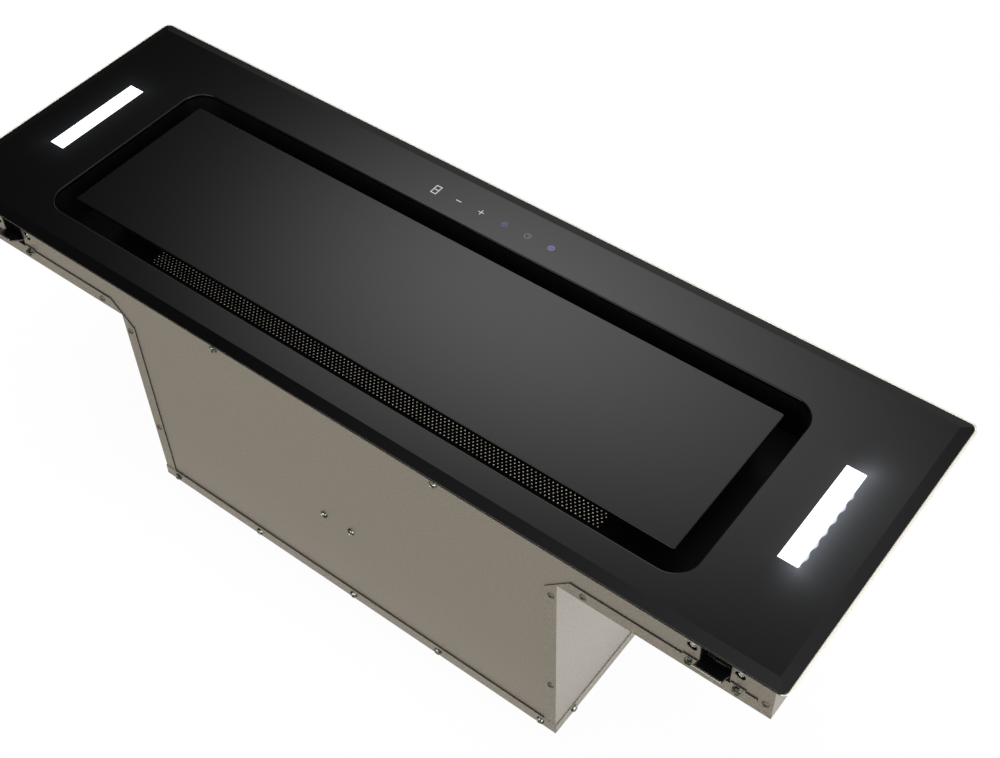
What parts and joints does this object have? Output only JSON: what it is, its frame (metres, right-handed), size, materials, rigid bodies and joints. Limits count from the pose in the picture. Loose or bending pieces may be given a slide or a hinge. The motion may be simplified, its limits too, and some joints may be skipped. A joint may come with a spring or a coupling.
{
  "type": "range hood",
  "caption": "Undermount range hood insert: glass fascia with a hinged centre panel, grease filter, sprung cabinet clips, centrifugal blower and a round duct spigot.",
  "frame": {"origin": "centre of the fascia in plan, on the plane of the duct spigot's rim", "axes": "+X to the hood's right along the fascia, +Y to the side with the touch keys, +Z out of the glass, which faces down when the hood is built in"},
  "size_m": [0.904, 0.296, 0.355],
  "materials": {
    "glass_black": "polished black glass, opaque",
    "tray_steel": "satin",
    "body_steel": "galvanised, satin",
    "black_metal": "black powder coat",
    "filter_mesh": "expanded mesh",
    "zinc": "zinc plated",
    "black_plastic": "matte",
    "white_plastic": "matte",
    "diffuser": "opal",
    "circuit_board": "solder mask",
    "galvanised": "galvanised",
    "motor_cast": "cast"
  },
  "bodies": {
    "hood_body": {"fascia_glass": "glass_black", "fascia_tray": "tray_steel", "recess_wall": "black_metal", "recess_floor": "black_metal", "recess_straps": "galvanised", "panel_hinge_brackets": "zinc", "panel_hinge_pins": "zinc", "panel_posts": "black_plastic", "panel_magnets": "zinc", "filter_rails": "galvanised", "front_sheet": "body_steel", "rear_sheet": "body_steel", "side_wrap_left": "body_steel", "side_wrap_right": "body_steel", "end_lid": "body_steel", "lid_screws": "zinc", "sheet_screws": "zinc", "sheet_rivets": "zinc", "clip_brackets": "black_metal", "clip_pins": "zinc", "clip_screws": "zinc", "led_lenses": "diffuser", "led_boards": "white_plastic", "led_housings": "black_plastic", "touch_board": "circuit_board", "digit_display": "black_plastic", "control_box": "black_plastic", "control_box_cover": "black_plastic", "main_board": "circuit_board", "terminal_block": "white_plastic", "led_driver": "white_plastic", "cable_gland": "black_plastic", "scroll_wrap": "galvanised", "scroll_sides": "galvanised", "inlet_rings": "galvanised", "blower_bracket": "galvanised", "motor": "motor_cast", "motor_bracket": "galvanised", "capacitor": "white_plastic", "outlet_transition": "black_plastic", "duct_spigot": "black_plastic", "spigot_screws": "zinc", "flap_pin": "zinc"},
    "centre_panel": {"panel_glass": "glass_black", "panel_tray": "galvanised", "panel_hinge_arms": "zinc", "panel_strikes": "zinc"},
    "grease_filter": {"filter_frame": "black_metal", "filter_face": "black_metal", "filter_mesh": "filter_mesh", "filter_handle": "black_plastic"},
    "clip_front_left": {"pawl_front_left": "black_metal"},
    "clip_front_right": {"pawl_front_right": "black_metal"},
    "clip_rear_left": {"pawl_rear_left": "black_metal"},
    "clip_rear_right": {"pawl_rear_right": "black_metal"},
    "fan_wheel": {"impeller": "black_plastic", "motor_shaft": "zinc"},
    "flap_front": {"backdraft_flap_front": "black_plastic"},
    "flap_rear": {"backdraft_flap_rear": "black_plastic"}
  },
  "joints": [
    {"name": "panel_hinge", "type": "hinge", "parent": "hood_body", "child": "centre_panel", "pos_m": [0, 0.0561, 0.328], "axis": [-1, 0, 0], "range_deg": [0, 85]},
    {"name": "filter_slide", "type": "slide", "parent": "hood_body", "child": "grease_filter", "axis": [0, 1, 0], "range_m": [0, 0.005], "stiffness_N_per_m": 600, "springref_m": -0.004},
    {"name": "clip_hinge_front_left", "type": "hinge", "parent": "hood_body", "child": "clip_front_left", "pos_m": [-0.3872, -0.119, 0.295], "axis": [-1, 0, 0], "range_deg": [0, 50], "stiffness_Nm_per_rad": 0.05, "springref_deg": -34.38},
    {"name": "clip_hinge_rear_left", "type": "hinge", "parent": "hood_body", "child": "clip_rear_left", "pos_m": [-0.3872, 0.119, 0.295], "axis": [1, 0, 0], "range_deg": [0, 50], "stiffness_Nm_per_rad": 0.05, "springref_deg": -34.38},
    {"name": "clip_hinge_front_right", "type": "hinge", "parent": "hood_body", "child": "clip_front_right", "pos_m": [0.3872, -0.119, 0.295], "axis": [-1, 0, 0], "range_deg": [0, 50], "stiffness_Nm_per_rad": 0.05, "springref_deg": -34.38},
    {"name": "clip_hinge_rear_right", "type": "hinge", "parent": "hood_body", "child": "clip_rear_right", "pos_m": [0.3872, 0.119, 0.295], "axis": [1, 0, 0], "range_deg": [0, 50], "stiffness_Nm_per_rad": 0.05, "springref_deg": -34.38},
    {"name": "fan_spin", "type": "hinge", "parent": "hood_body", "child": "fan_wheel", "pos_m": [0, -0.02797, 0.17683], "axis": [1, 0, 0], "continuous": true},
    {"name": "flap_hinge_front", "type": "hinge", "parent": "hood_body", "child": "flap_front", "pos_m": [0, 0.025, 0.063], "axis": [1, 0, 0], "range_deg": [0, 80], "stiffness_Nm_per_rad": 0.02, "springref_deg": -34.38},
    {"name": "flap_hinge_rear", "type": "hinge", "parent": "hood_body", "child": "flap_rear", "pos_m": [0, 0.025, 0.063], "axis": [-1, 0, 0], "range_deg": [0, 80], "stiffness_Nm_per_rad": 0.02, "springref_deg": -34.38}
  ]
}
